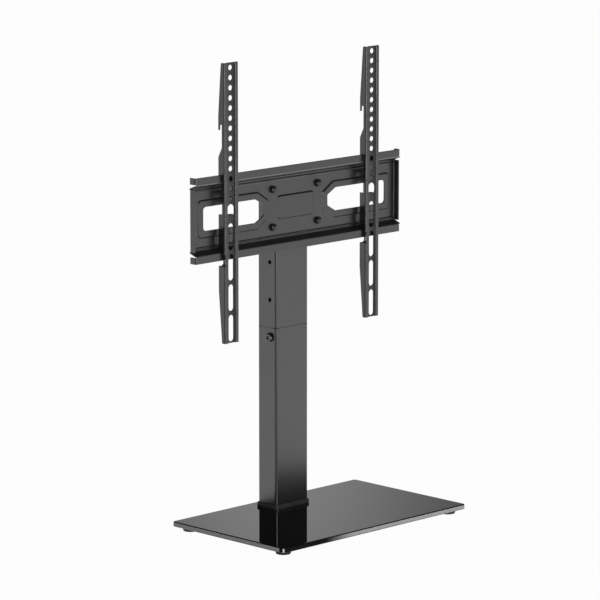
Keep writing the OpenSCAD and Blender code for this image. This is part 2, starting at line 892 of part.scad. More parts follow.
module lock_screw(x) {
    low = ledge_top_z - ledge_t - lock_below;
    length = rail_bottom_z - lock_tip_gap - low;
    color([0.06, 0.06, 0.06]) translate([x - lock_side, lock_y, low]) difference() {
        union() {
            cylinder(d = lock_d, h = length);
            translate([0, 0, -lock_d]) cylinder(d = lock_af, h = lock_d);
        }
        translate([0, 0, -lock_d - over]) hexagon(lock_socket_share * lock_d, lock_d / 2 + over);
    }
}

module lock_ledge_left() { lock_ledge(-arm_x); }
module lock_ledge_right() { lock_ledge(arm_x); }
module lock_nut_left() { lock_nut(-arm_x); }
module lock_nut_right() { lock_nut(arm_x); }
module lock_screw_left() { lock_screw(-arm_x); }
module lock_screw_right() { lock_screw(arm_x); }

glass_base();
foot_front_left();
foot_front_right();
foot_back_left();
foot_back_right();
pad_over_glass();
pad_under_glass();
glass_bushes();
clamp_plate();
base_screws();
foot_block();
column_trim();
column_lower();
clamp_nut();
clamp_bolt();
column_upper();
inner_tube();
column_cap();
head_plate();
wall_plate();
plate_bolts();
plate_washers();
plate_nuts();
arm_left();
arm_right();
lock_ledge_left();
lock_ledge_right();
lock_nut_left();
lock_nut_right();
lock_screw_left();
lock_screw_right();
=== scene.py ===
import math

import bmesh
import bpy
import numpy as np
from bpy.props import FloatProperty, FloatVectorProperty, IntProperty, PointerProperty
from bpy.types import Operator, Panel, PropertyGroup
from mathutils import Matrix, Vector


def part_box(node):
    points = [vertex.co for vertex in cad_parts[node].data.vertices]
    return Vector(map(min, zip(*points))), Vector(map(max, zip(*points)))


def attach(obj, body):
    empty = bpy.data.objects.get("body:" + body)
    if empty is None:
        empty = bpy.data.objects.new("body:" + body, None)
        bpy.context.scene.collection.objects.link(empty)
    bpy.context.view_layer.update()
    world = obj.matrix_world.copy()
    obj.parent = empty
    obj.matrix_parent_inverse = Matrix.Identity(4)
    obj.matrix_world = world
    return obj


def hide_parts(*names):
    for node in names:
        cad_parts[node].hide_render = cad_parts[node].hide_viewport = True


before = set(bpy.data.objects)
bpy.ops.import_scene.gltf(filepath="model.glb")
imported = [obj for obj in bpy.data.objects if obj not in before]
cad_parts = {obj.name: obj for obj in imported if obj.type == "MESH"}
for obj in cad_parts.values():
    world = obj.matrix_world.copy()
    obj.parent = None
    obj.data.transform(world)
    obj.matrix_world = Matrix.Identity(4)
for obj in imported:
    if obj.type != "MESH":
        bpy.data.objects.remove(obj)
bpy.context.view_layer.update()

bl_info = {
    "name": "Television stand",
    "version": (1, 0, 0),
    "blender": (4, 5, 0),
    "location": "View3D > Sidebar > TV stand",
    "description": "Dresses the television stand's frame and builds its fasteners, feet, glass, trim and studio",
    "category": "Object",
}

MM = 0.001
FULL_TURN = 2 * math.pi

# Shapes: the least corner radius of a profile carried round a rectangle, and the play round a thread in its bore.
LEAST_CORNER = 0.3 * MM
BORE_PLAY = 0.05 * MM

# Coats. A bare colour shows where a coat is rubbed and also paints a highlight along the rail's lip, and bends are
# rounded in the normals only.
COAT_IOR = 1.61
BARE_AND_HIGHLIGHT_COLOUR = (0.2, 0.2, 0.2)
RUB = 0.12
SHEET_BEND = 1.1 * MM
FLAT_BEND = 0.6 * MM
CORNER_BEND = 2.4 * MM
CORNER_REACH = 6.5 * MM

# Wear in the frame's own place, the pads of the arms, and a painted highlight along the lower lip of the upper
# rail.
PAD_DEPTH = 38.2 * MM
PAD_REACH = 8.8 * MM
PAD_DULLING = (0.1, 0.4)
LIP_LEVEL = 544.9 * MM
LIP_REACH = 1.1 * MM
LIP_DEPTH = 45.0 * MM
LIP_HIGHLIGHT = 0.5

# Ground edge of the glass: where its pale tone sets in along the front after a painted dark reflection, where the
# left side shows it, and a painted glint at the corner.
EDGE_FADE = (-115 * MM, -45 * MM)
EDGE_LEFT = -201 * MM
EDGE_BACK = -112.5 * MM
EDGE_PAINTED_SHADE = (0.004, 0.004, 0.004)
# A painted glint on the rounded corner of the front edge.
GLINT_MIDDLE = -199.7 * MM
GLINT_REACH = 0.9 * MM
GLINT_FRONT = -117 * MM
GLINT_COLOUR = (0.85, 0.85, 0.85)

# Floor and backdrop, in metres. TOWARDS is the level direction to the camera, and ASIDE lies square to it.
TOWARDS = (-math.sqrt(0.5), -math.sqrt(0.5), 0.0)
ASIDE = (math.sqrt(0.5), -math.sqrt(0.5), 0.0)
FLOOR_RADII = (0.01, 1.0, 4.0, 15.0, 60.0)
FLOOR_STEPS = 72
FLOOR_GLOW = 0.98
MAT_LEVEL = 0.42
MAT_SPREAD = (1.2, 3.4)
BACKDROP_GRID = (12, 33)
BACKDROP_DISTANCE = 13.0
BACKDROP_HEIGHT = 5.6
BACKDROP_ANGLES = (5, 85)
BACKDROP_SHIFT = 0.14
BACKDROP_REACH = 1.4
BACKDROP_EDGE = 0.23
BACKDROP_ENDS = (4.0, 8.2)
BACKDROP_TOP = (3.0, 5.4)

# Lamps: name, place, target, width and height, power, and whether reflections show it.
LAMPS = (
    ("key_lamp", (2.4, -3.0, 2.9), (0, 0, 0.35), (2.2, 2.2), 130, False),
    ("front_strip", (-0.23, -1.95, 0.47), (0, 0, 0.47), (0.7, 0.6), 11, True),
    ("fill_lamp", (-3.2, -1.6, 1.8), (0, 0, 0.35), (2.0, 2.0), 60, False),
    ("top_lamp", (0.2, 0.4, 3.4), (0, 0, 0.3), (2.4, 2.4), 20, False),
)

# Camera, fitted to the photograph: its place, its turn in degrees, and its shift in shares of the picture.
CAMERA_PLACE = (-4.0420, -3.9893, 1.39155)
CAMERA_TURN = (79.594, 0.0, -45.063)
CAMERA_SHIFT = (-0.4 / 600, 0.7 / 600)
CAMERA_SENSOR = 36.0
CAMERA_REACH = 300.0


# Surfaces


def indexed_faces(rows, columns, close_rows, close_columns):
    """Quads of a grid of points.

    Each joins (i, j), (i, j + 1), (i + 1, j + 1) and (i + 1, j), and wraps round where a direction is closed.
    """
    i = np.arange(rows if close_rows else rows - 1)[:, None]
    j = np.arange(columns if close_columns else columns - 1)[None, :]
    next_i, next_j = (i + 1) % rows, (j + 1) % columns
    corners = (i * columns + j, i * columns + next_j, next_i * columns + next_j, next_i * columns + j)
    return np.stack([np.broadcast_to(c, (i.size, j.size)) for c in corners], axis=-1).reshape(-1, 4)


def grid_part(points, close_rows=False, close_columns=True, capped=True):
    """One part of a piece: the quads over a grid of points, and flat caps over its first and last row."""
    rows, columns = points.shape[:2]
    faces = indexed_faces(rows, columns, close_rows, close_columns).tolist()
    if capped and not close_rows:
        faces.append(list(range(columns)))
        faces.append([(rows - 1) * columns + j for j in range(columns)])
    return points.reshape(-1, 3), faces


def make_piece(name, parts, crease=35.0):
    """Joins parts into one mesh object, turns its faces outwards, and shades it smooth up to the crease angle."""
    mesh = bpy.data.meshes.new(name)
    points, faces, start = [], [], 0
    for part_points, part_faces in parts:
        points.append(part_points)
        faces.extend([[start + k for k in face] for face in part_faces])
        start += len(part_points)
    mesh.from_pydata(np.concatenate(points).tolist(), [], faces)
    shell = bmesh.new()
    shell.from_mesh(mesh)
    bmesh.ops.recalc_face_normals(shell, faces=shell.faces)
    shell.to_mesh(mesh)
    shell.free()
    mesh.shade_smooth()
    mesh.set_sharp_from_angle(angle=math.radians(crease))
    piece = bpy.data.objects.new(name, mesh)
    bpy.context.scene.collection.objects.link(piece)
    return piece


def finish_piece(piece, body, slot, material, *nodes):
    """Gives a piece its material and the body it rides on, and hides the CAD nodes it stands for. The slot is not
    used.
    """
    piece.data.materials.append(material)
    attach(piece, body)
    if nodes:
        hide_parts(*nodes)
    return piece


def dress(node, material):
    """Puts a material on a CAD node in place of the one it came with."""
    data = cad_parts[node].data
    data.materials.clear()
    data.materials.append(material)


def over_middle(low, high, height):
    """The middle of a box seen from above, at a height."""
    return ((low.x + high.x) / 2, (low.y + high.y) / 2, height)


def round_rectangle(width, depth, radius, steps):
    """Points round a rectangle whose corners are arcs, centre + radius * (cos a, sin a)."""
    quarter = np.linspace(0.0, math.pi / 2, steps)
    angle = np.concatenate([quarter + k * math.pi / 2 for k in range(4)])
    sign = np.repeat(np.array([[1, 1], [-1, 1], [-1, -1], [1, -1]]), steps, axis=0)
    centre = sign * np.array([width / 2 - radius, depth / 2 - radius])
    return centre + radius * np.stack([np.cos(angle), np.sin(angle)], axis=1)


def carried(width, depth, radius, profile, middle, steps=12):
    """A profile of (distance outwards, height) carried round a rectangle.

    The corner radius grows by the distance, and never gets below the least one.
    """
    rows = []
    for out, height in profile:
        flat = round_rectangle(width + 2 * out, depth + 2 * out, max(radius + out, LEAST_CORNER), steps)
        rows.append(np.column_stack([flat, np.full(len(flat), height)]))
    return np.stack(rows) + np.asarray(middle)


def rounded_profile(corners, radii, steps=5):
    """An open profile with each inner corner rounded.

    The round is a quadratic curve, (1 - t)^2 start + 2 t (1 - t) corner + t^2 end, and start and end lie a radius
    away from the corner.
    """
    corners = [np.asarray(c, float) for c in corners]
    line = [corners[0]]
    for before, corner, after, radius in zip(corners, corners[1:], corners[2:], radii):
        back, ahead = before - corner, after - corner
        back, ahead = back / np.linalg.norm(back), ahead / np.linalg.norm(ahead)
        share = np.linspace(0.0, 1.0, steps)[:, None]
        start, end = corner + radius * back, corner + radius * ahead
        line.extend((1 - share) ** 2 * start + 2 * share * (1 - share) * corner + share**2 * end)
    line.append(corners[-1])
    return np.array(line)


def hexagon_radius(angle, across_flats):
    """Distance from the middle to the side of a hexagon whose corners lie at multiples of 60 degrees.

    It is half the width over the cosine of the angle from the flat's middle.
    """
    return across_flats / 2 / np.cos(np.mod(angle, math.pi / 3) - math.pi / 6)


def turned_rings(rings, columns):
    """Rings round the local Z axis, (r cos a, r sin a, z), from radii and heights that may vary over the angle."""
    angle = np.arange(columns) * FULL_TURN / columns
    radius = np.stack([np.broadcast_to(r, columns) for r, _ in rings])
    height = np.stack([np.broadcast_to(z, columns) for _, z in rings])
    return np.stack([radius * np.cos(angle), radius * np.sin(angle), height], axis=2)


AXES = {
    "+Z": np.array([[1, 0, 0], [0, 1, 0], [0, 0, 1]], float),
    "-Z": np.array([[1, 0, 0], [0, -1, 0], [0, 0, -1]], float),
    "-Y": np.array([[1, 0, 0], [0, 0, -1], [0, 1, 0]], float),
    "-X": np.array([[0, 0, -1], [0, 1, 0], [1, 0, 0]], float),
}


def turned_part(rings, columns, axis, place, close_rows=False):
    """A turned part whose local Z axis lies along the named axis of the frame, with its origin at place."""
    points = turned_rings(rings, columns) @ AXES[axis].T + np.asarray(place)
    return grid_part(points, close_rows=close_rows)


def thread_rings(radius, pitch, start, end, columns, depth_share=0.6, steps=6):
    """Rings of a screw thread.

    The radius falls by a triangle wave of (z / pitch - angle / full turn), which fades out over one pitch at both
    ends.
    """
    depth = depth_share * pitch
    angle = np.arange(columns) * FULL_TURN / columns
    count = max(3, int(abs(end - start) / pitch * steps))
    height = np.linspace(start, end, count)
    phase = height[:, None] / pitch - angle[None] / FULL_TURN
    wave = np.abs(np.mod(phase, 1.0) * 2 - 1)
    fade = np.clip(np.minimum(np.abs(height - start), np.abs(height - end)) / pitch, 0, 1)[:, None]
    return [(row, z) for row, z in zip(radius - depth * wave * fade, height)]


def shank_rings(radius, pitch, length, run_in, run_out, point, columns):
    """Rings of a threaded shank below a head, plain at both ends and narrower by the point at its tip."""
    return thread_rings(radius, pitch, -run_in, run_out - length, columns) + [(radius - point, -length)]


def hexagon_rings(across, low, high, columns, chamfer_low=False):
    """Rings of a hexagonal head with a chamfer cone of 30 degrees.

    Where the cone, z = high - (r - start) * tan 30, cuts the hexagon's sides, its height follows the hexagon's
    radius.
    """
    angle = np.arange(columns) * FULL_TURN / columns
    side = hexagon_radius(angle, across)
    start = 0.48 * across
    drop = np.maximum(side - start, 0) * math.tan(math.radians(30))
    rings = [(start, high), (side, high - drop), (side, low + (drop if chamfer_low else 0))]
    return rings + ([(start, low)] if chamfer_low else [])


def nut_part(across, bore, height, columns, axis, place):
    """A hexagon nut with a plain bore and both faces chamfered."""
    faces = reversed(hexagon_rings(across, 0.0, height, columns, chamfer_low=True))
    return turned_part([(bore, 0.0), *faces, (bore, height)], columns, axis, place, close_rows=True)


def socket_rings(across, depth, top, columns):
    """Rings of a hexagon socket: its floor, its hexagonal walls, and a small chamfer at its mouth."""
    chamfer, eye = 0.25 * MM, 0.02 * MM
    side = hexagon_radius(np.arange(columns) * FULL_TURN / columns, across)
    mouth = across / 2 / math.cos(math.pi / 6) + chamfer
    return [(eye, top - depth), (side, top - depth), (side, top - chamfer), (mouth, top)]


# Materials


def feed(tree, node, inputs):
    """Gives a node's sockets plain values, or links them to other sockets."""
    for key, source in inputs.items():
        if isinstance(source, bpy.types.NodeSocket):
            tree.links.new(source, node.inputs[key])
        else:
            node.inputs[key].default_value = source


def put(tree, kind, settings=None, inputs=None):
    """Adds a node with its settings and what feeds its sockets."""
    node = tree.nodes.new(kind)
    for key, value in (settings or {}).items():
        setattr(node, key, value)
    feed(tree, node, inputs or {})
    return node


def maths(tree, operation, *terms):
    """A math node over plain numbers and sockets, in their order."""
    return put(tree, "ShaderNodeMath", {"operation": operation}, dict(enumerate(terms))).outputs[0]


def ranged(tree, factor, low, high, start=0.0, end=1.0, smooth=False):
    """Turns a number that runs from start to end into one that runs from low to high."""
    kind = {"interpolation_type": "SMOOTHSTEP" if smooth else "LINEAR"}
    sockets = {"Value": factor, "From Min": start, "From Max": end, "To Min": low, "To Max": high}
    return put(tree, "ShaderNodeMapRange", kind, sockets).outputs["Result"]


def mix_colour(tree, factor, first, second):
    """A mix of two colours, plain ones or sockets, by a factor that varies over the surface."""
    node = put(tree, "ShaderNodeMix", {"data_type": "RGBA"}, {"Factor": factor})
    for key, colour in ((6, first), (7, second)):
        feed(tree, node, {key: colour if isinstance(colour, bpy.types.NodeSocket) else (*colour, 1.0)})
    return node.outputs[2]


def shaded(colour, share):
    """A colour made darker or paler by a share."""
    return tuple(c * share for c in colour)


def surface_place(tree):
    """A surface point's place in the frame."""
    return put(tree, "ShaderNodeTexCoord").outputs["Object"]


def surface_parts(tree):
    """A surface point's X, Y and Z in the frame."""
    return put(tree, "ShaderNodeSeparateXYZ", inputs={"Vector": surface_place(tree)}).outputs


def surface_along(tree, direction):
    """How far a surface point lies along a direction."""
    sockets = {0: surface_place(tree), 1: direction}
    return put(tree, "ShaderNodeVectorMath", {"operation": "DOT_PRODUCT"}, sockets).outputs["Value"]


def new_group(name, inputs, outputs):
    """An empty shader node group with inputs, as (name, default), and outputs, as names."""
    tree = bpy.data.node_groups.new(name, "ShaderNodeTree")
    for label, default in inputs:
        socket = tree.interface.new_socket(name=label, in_out="INPUT", socket_type="NodeSocketFloat")
        socket.default_value = default
    for label in outputs:
        tree.interface.new_socket(name=label, in_out="OUTPUT", socket_type="NodeSocketFloat")
    return tree, tree.nodes.new("NodeGroupInput"), tree.nodes.new("NodeGroupOutput")


def powder_grain():
    """Shared group: a fine orange peel as a height, and slow patches of slightly uneven gloss and tone."""
    name = "powder_grain"
    if name in bpy.data.node_groups:
        return bpy.data.node_groups[name]
    tree, given, result = new_group(name, [("Grain Scale", 900.0), ("Patch Scale", 14.0)], ["Height", "Patch"])
    place = surface_place(tree)
    fine, slow = (
        put(
            tree, "ShaderNodeTexNoise",
            inputs={"Vector": place, "Scale": given.outputs[scale], "Detail": detail, "Roughness": roughness},
        ).outputs["Fac"]
        for scale, detail, roughness in (("Grain Scale", 2.0, 0.55), ("Patch Scale", 3.0, 0.5))
    )
    feed(tree, result, {"Height": fine, "Patch": ranged(tree, slow, 0.0, 1.0, start=0.3, end=0.7)})
    return tree


def edge_rub():
    """Shared group: a mask along the edges, where a rounded normal leaves the face's own normal."""
    name = "edge_rub"
    if name in bpy.data.node_groups:
        return bpy.data.node_groups[name]
    tree, given, result = new_group(name, [("Reach", 0.08)], ["Mask"])
    own = put(tree, "ShaderNodeNewGeometry").outputs["Normal"]
    rounded = put(tree, "ShaderNodeBevel", {"samples": 4}, {"Radius": 0.5 * MM}).outputs["Normal"]
    likeness = put(tree, "ShaderNodeVectorMath", {"operation": "DOT_PRODUCT"}, {0: own, 1: rounded})
    away = maths(tree, "SUBTRACT", 1.0, likeness.outputs["Value"])
    feed(tree, result, {"Mask": ranged(tree, away, 0.0, 1.0, end=given.outputs["Reach"])})
    return tree


def grain_of(tree, grain, patch):
    """The height and the patches of the powder grain group, at its two scales."""
    scales = {"Grain Scale": grain, "Patch Scale": patch}
    return put(tree, "ShaderNodeGroup", {"node_tree": powder_grain()}, scales).outputs


def new_material(name):
    """A material with its node tree and its surface shader."""
    material = bpy.data.materials.new(name)
    material.use_nodes = True
    return material, material.node_tree, material.node_tree.nodes["Principled BSDF"]


def powder_coated(
    name, colour, roughness, level, bend, grain=900.0, depth=0.03 * MM, rub=RUB, duller=None, paler=None
):
    """Powder coat on steel, with orange peel, patches of uneven gloss, soft bends and edges where the coat thins.

    The bend is a radius or a function that makes one which varies. A duller function makes a number that is added
    to the roughness, and the last function makes a mask of further places that are painted lighter as a highlight.
    """
    material, tree, shader = new_material(name)
    coat = grain_of(tree, grain, 14.0)
    tone = mix_colour(tree, coat["Patch"], shaded(colour, 0.85), shaded(colour, 1.15))
    edge = put(tree, "ShaderNodeGroup", {"node_tree": edge_rub()}).outputs["Mask"]
    worn = ranged(tree, edge, 0.0, rub)
    # A painted highlight, where one is given, lifts the tone towards the bare colour as the rubbed edges do.
    if paler:
        worn = maths(tree, "MAXIMUM", worn, paler(tree))
    gloss = ranged(tree, coat["Patch"], roughness * 0.93, roughness * 1.07)
    if duller:
        gloss = maths(tree, "ADD", gloss, duller(tree))
    radius = bend(tree) if callable(bend) else bend
    rounded = put(tree, "ShaderNodeBevel", {"samples": 8}, {"Radius": radius}).outputs["Normal"]
    peel = {"Distance": depth, "Strength": 0.6, "Height": coat["Height"], "Normal": rounded}
    bump = put(tree, "ShaderNodeBump", inputs=peel)
    feed(tree, shader, {
        "Base Color": mix_colour(tree, worn, tone, BARE_AND_HIGHLIGHT_COLOUR), "Roughness": gloss,
        "Normal": bump.outputs["Normal"], "Specular IOR Level": level, "IOR": COAT_IOR,
    })
    return material


def pad_wear(middle):
    """Roughness added on the pad between an arm's lands, where a television's screws rub.

    It grows towards the right.
    """

    def build(tree):
        parts = surface_parts(tree)
        deep = maths(tree, "GREATER_THAN", parts["Y"], PAD_DEPTH)
        offset = maths(tree, "SUBTRACT", parts["X"], middle)
        near = maths(tree, "COMPARE", offset, 0.0, PAD_REACH)
        worn = maths(tree, "MULTIPLY", deep, near)
        return maths(tree, "MULTIPLY", worn, ranged(tree, offset, *PAD_DULLING, start=-PAD_REACH, end=PAD_REACH))

    return build


def painted_lip_highlight(tree):
    """A mask of the lower lip of the upper rail, where a highlight along its bend is painted in the lighter bare
    colour.
    """
    parts = surface_parts(tree)
    level = maths(tree, "COMPARE", parts["Z"], LIP_LEVEL, LIP_REACH)
    front = maths(tree, "LESS_THAN", parts["Y"], LIP_DEPTH)
    return ranged(tree, maths(tree, "MULTIPLY", level, front), 0.0, LIP_HIGHLIGHT)


def tube_corners(low, high):
    """A bend radius for the column: wide along its four rounded corners, and fine on its flat sides."""

    def build(tree):
        parts = surface_parts(tree)
        near = []
        for axis, start, end in (("X", low.x, high.x), ("Y", low.y, high.y)):
            away = maths(tree, "ABSOLUTE", maths(tree, "SUBTRACT", parts[axis], (start + end) / 2))
            near.append(maths(tree, "GREATER_THAN", away, (end - start) / 2 - CORNER_REACH))
        return ranged(tree, maths(tree, "MULTIPLY", *near), FLAT_BEND, CORNER_BEND)

    return build


def moulded(name, colour, roughness, grain=2200.0, depth=0.012 * MM):
    """Moulded plastic or rubber, with a fine even texture from the mould and slow patches of gloss."""
    material, tree, shader = new_material(name)
    skin = grain_of(tree, grain, 40.0)
    bump = put(tree, "ShaderNodeBump", inputs={"Distance": depth, "Strength": 0.5, "Height": skin["Height"]})
    feed(tree, shader, {
        "Base Color": mix_colour(tree, skin["Patch"], shaded(colour, 0.85), shaded(colour, 1.2)),
        "Roughness": ranged(tree, skin["Patch"], roughness * 0.92, roughness * 1.08),
        "Normal": bump.outputs["Normal"],
    })
    return material


def blackened_steel(name, colour, roughness, metallic=0.8, mottle=0.3):
    """Blackened steel: dark, mostly metallic, with a tone and gloss mottled by the dip."""
    material, tree, shader = new_material(name)
    skin = grain_of(tree, 3000.0, 220.0)
    feed(tree, shader, {
        "Base Color": mix_colour(tree, skin["Patch"], shaded(colour, 1 - mottle), shaded(colour, 1 + mottle)),
        "Roughness": ranged(tree, skin["Patch"], roughness * (1 - mottle / 2), roughness * (1 + mottle / 2)),
        "Metallic": metallic,
    })
    return material


def black_glass(name, colour):
    """The back-painted sheet of glass: a black mirror, broken only by a faint haze of fine dust."""
    material, tree, shader = new_material(name)
    haze = grain_of(tree, 300.0, 9.0)
    feed(tree, shader, {
        "Base Color": mix_colour(tree, haze["Patch"], colour, shaded(colour, 1.5)),
        "Roughness": ranged(tree, haze["Patch"], 0.012, 0.03),
        "IOR": 1.5,
    })
    return material


def ground_edge(name, colour):
    """The ground edge of the glass: pale with a fine grind.

    It is painted black as a dark reflection at the left end of the front and on the left side near that corner, and
    has a painted glint at that corner.
    """
    material, tree, shader = new_material(name)
    grind = grain_of(tree, 1600.0, 60.0)
    parts = surface_parts(tree)
    # Masks of the pale tone; elsewhere the edge is painted black, as a painted dark reflection.
    front = ranged(tree, parts["X"], 0.0, 1.0, *EDGE_FADE, smooth=True)
    left = maths(tree, "LESS_THAN", parts["X"], EDGE_LEFT)
    left = maths(tree, "MULTIPLY", left, maths(tree, "GREATER_THAN", parts["Y"], EDGE_BACK))
    # A painted glint at the corner, in a pale colour on the rounded edge.
    painted_glint = maths(tree, "COMPARE", parts["X"], GLINT_MIDDLE, GLINT_REACH)
    painted_glint = maths(tree, "MULTIPLY", painted_glint, maths(tree, "LESS_THAN", parts["Y"], GLINT_FRONT))
    pale = mix_colour(tree, grind["Patch"], shaded(colour, 0.93), shaded(colour, 1.07))
    tone = mix_colour(tree, maths(tree, "MAXIMUM", front, left), EDGE_PAINTED_SHADE, pale)
    feed(tree, shader, {
        "Base Color": mix_colour(tree, painted_glint, tone, GLINT_COLOUR),
        "Roughness": ranged(tree, grind["Patch"], 0.3, 0.4),
        "Specular IOR Level": 0.12,
    })
    return material


# Settings


class StandSizes(PropertyGroup):
    """Sizes of the pieces that are built here."""

    arris: FloatProperty(
        name="Glass arris", description="Width of the bevel on the edges of the glass",
        default=1.0 * MM, unit="LENGTH",
    )
    glass_corner: FloatProperty(
        name="Glass corner", description="Corner radius of the glass", default=5.0 * MM, unit="LENGTH"
    )
    column_corner: FloatProperty(
        name="Column corner", description="Outer corner radius of the column", default=3.5 * MM, unit="LENGTH"
    )
    plate_bolt_pitch: FloatProperty(
        name="Plate thread pitch", description="Thread pitch of the plate bolts", default=1.0 * MM, unit="LENGTH"
    )
    lock_thread: FloatProperty(
        name="Lock thread", description="Thread diameter of the lock screws", default=3.0 * MM, unit="LENGTH"
    )
    lock_pitch: FloatProperty(
        name="Lock thread pitch", description="Thread pitch of the lock screws", default=0.5 * MM, unit="LENGTH"
    )
    weld: FloatProperty(
        name="Weld size", description="Radius of the weld bead behind the head plate",
        default=3.5 * MM, unit="LENGTH",
    )
    columns: IntProperty(
        name="Turned steps", description="Steps round a turned piece", default=48, min=24, max=96
    )


class StandLooks(PropertyGroup):
    """Colours and gloss of the finishes."""

    paint: FloatVectorProperty(
        name="Paint", description="Colour of the powder coat",
        subtype="COLOR", default=(0.008, 0.008, 0.0082), min=0, max=1,
    )
    column_gloss: FloatProperty(
        name="Column roughness", description="Roughness of the column's coat", default=0.3, min=0, max=1
    )
    plate_gloss: FloatProperty(
        name="Plate roughness", description="Roughness of the plate's and the arms' coat",
        default=0.34, min=0, max=1,
    )
    glass: FloatVectorProperty(
        name="Glass", description="Colour of the painted glass",
        subtype="COLOR", default=(0.002, 0.002, 0.0022), min=0, max=1,
    )
    glass_edge: FloatVectorProperty(
        name="Glass edge", description="Colour of the ground edge",
        subtype="COLOR", default=(0.42, 0.42, 0.42), min=0, max=1,
    )
    plastic: FloatVectorProperty(
        name="Plastic", description="Colour of the trim",
        subtype="COLOR", default=(0.026, 0.026, 0.0262), min=0, max=1,
    )
    rubber: FloatVectorProperty(
        name="Rubber", description="Colour of the feet and pads",
        subtype="COLOR", default=(0.02, 0.02, 0.02), min=0, max=1,
    )
    clamp: FloatVectorProperty(
        name="Clamp bolt", description="Colour of the clamp bolt",
        subtype="COLOR", default=(0.12, 0.12, 0.121), min=0, max=1,
    )
    screws: FloatVectorProperty(
        name="Screws", description="Colour of the blackened screws",
        subtype="COLOR", default=(0.06, 0.06, 0.061), min=0, max=1,
    )


class StudioSettings(PropertyGroup):
    """Floor, upper light, backdrop and lens."""

    floor: FloatVectorProperty(
        name="Floor", description="Colour of the floor", subtype="COLOR", default=(0.9, 0.9, 0.9), min=0, max=1
    )
    sky: FloatProperty(
        name="Upper light", description="Level of the light from above the horizon", default=0.025, min=0
    )
    backdrop: FloatProperty(
        name="Backdrop", description="Level of the pale backdrop behind the stand", default=0.7, min=0
    )
    lens: FloatProperty(name="Lens", description="Focal length of the camera in millimetres", default=225.6, min=1)


def sizes():
    return bpy.context.scene.stand_sizes


def looks():
    return bpy.context.scene.stand_looks


def named_material(name, make):
    """The material of that name, made the first time that it is asked for."""
    return bpy.data.materials.get(name) or make(name)


def paint_plate():
    # The plate's coat has a painted highlight along the lower lip of the upper rail.
    return named_material(
        "plate_coat",
        lambda name: powder_coated(name, looks().paint, looks().plate_gloss, 0.9, SHEET_BEND, paler=painted_lip_highlight),
    )


def screw_steel():
    return named_material("screw_finish", lambda name: blackened_steel(name, looks().screws, 0.2))


def black_trim():
    return named_material("plastic_skin", lambda name: moulded(name, looks().plastic, 0.28))


def foot_rubber():
    return named_material(
        "rubber_skin", lambda name: moulded(name, looks().rubber, 0.6, grain=1400.0, depth=0.03 * MM)
    )


# Pieces


class STAND_OT_glass(Operator):
    """Build the glass base with its ground edge"""

    bl_idname = "stand.glass"
    bl_label = "Glass base"

    def execute(self, context):
        low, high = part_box("glass_base")
        size = high - low
        arris, fine = sizes().arris, 0.25 * MM
        profile = rounded_profile(
            [
                (-3 * arris, 0), (-arris, 0), (0, arris),
                (0, size.z - arris), (-arris, size.z), (-3 * arris, size.z),
            ],
            [fine] * 4,
        )
        points = carried(size.x, size.y, sizes().glass_corner, profile, over_middle(low, high, low.z))
        piece = make_piece("glass_slab", [grid_part(points)], crease=25.0)
        finish_piece(piece, "stand", "black_glass", black_glass("glass_face", looks().glass), "glass_base")
        piece.data.materials.append(ground_edge("glass_edge", looks().glass_edge))
        upright = np.abs([face.normal.z for face in piece.data.polygons]) < 0.05
        piece.data.polygons.foreach_set("material_index", upright.astype(np.int32))
        return {"FINISHED"}


class STAND_OT_feet(Operator):
    """Build the four rubber feet"""

    bl_idname = "stand.feet"
    bl_label = "Rubber feet"

    def execute(self, context):
        dish, chamfer, flank, eye = 0.25 * MM, 1.2 * MM, 2 * MM, 0.05 * MM
        for node in ("foot_front_left", "foot_front_right", "foot_back_left", "foot_back_right"):
            low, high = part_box(node)
            r, h = (high.x - low.x) / 2, high.z - low.z
            profile = rounded_profile(
                [(0.0, dish), (0.45 * r, dish), (0.5 * r, 0), (r - chamfer, 0), (r, h - flank), (r, h), (0.0, h)],
                [0.1 * MM, 0.1 * MM, 0.6 * MM, 0.5 * MM, 0.3 * MM],
            )
            rings = [(max(x, eye), z) for x, z in profile]
            part = turned_part(rings, sizes().columns, "+Z", over_middle(low, high, low.z))
            finish_piece(make_piece(f"rubber_{node}", [part]), "stand", "foot_rubber", foot_rubber(), node)
        return {"FINISHED"}


class STAND_OT_trim(Operator):
    """Build the trim ring at the column's foot and the cap in its top"""

    bl_idname = "stand.trim"
    bl_label = "Trim ring and cap"

    def execute(self, context):
        low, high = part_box("column_trim")
        column_low, column_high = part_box("column_lower")
        width, depth = column_high.x - column_low.x, column_high.y - column_low.y
        corner = sizes().column_corner
        out, h, play = (high.x - low.x - width) / 2, high.z - low.z, 0.2 * MM
        section = rounded_profile(
            [(play, 0), (out, 0), (out, h), (play, h), (play, 0)], [0.3 * MM, 2.2 * MM, 0.4 * MM], steps=7
        )
        points = carried(width, depth, corner, section[:-1], over_middle(low, high, low.z))
        trim = make_piece("foot_trim", [grid_part(points, close_rows=True)], crease=50.0)
        finish_piece(trim, "stand", "black_plastic", black_trim(), "column_trim")

        low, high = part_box("column_cap")
        wall, lid, skirt, hollow = 2.7 * MM, 3.0 * MM, 2 * MM, 7 * MM
        bottom, inside, middle = low.z - high.z, -wall - skirt, -3 * wall
        section = rounded_profile(
            [
                (middle, bottom + hollow), (inside, bottom + hollow), (inside, bottom), (-wall, bottom),
                (-wall, -lid), (0, -lid), (0, 0), (middle, 0),
            ],
            [0.2 * MM, 0.2 * MM, 0.3 * MM, 0.2 * MM, 0.2 * MM, 1.4 * MM],
            steps=6,
        )
        points = carried(width, depth, corner, section, over_middle(low, high, high.z))
        cap = make_piece("top_cap", [grid_part(points)], crease=50.0)
        finish_piece(cap, "riser", "black_plastic", black_trim(), "column_cap")
        return {"FINISHED"}


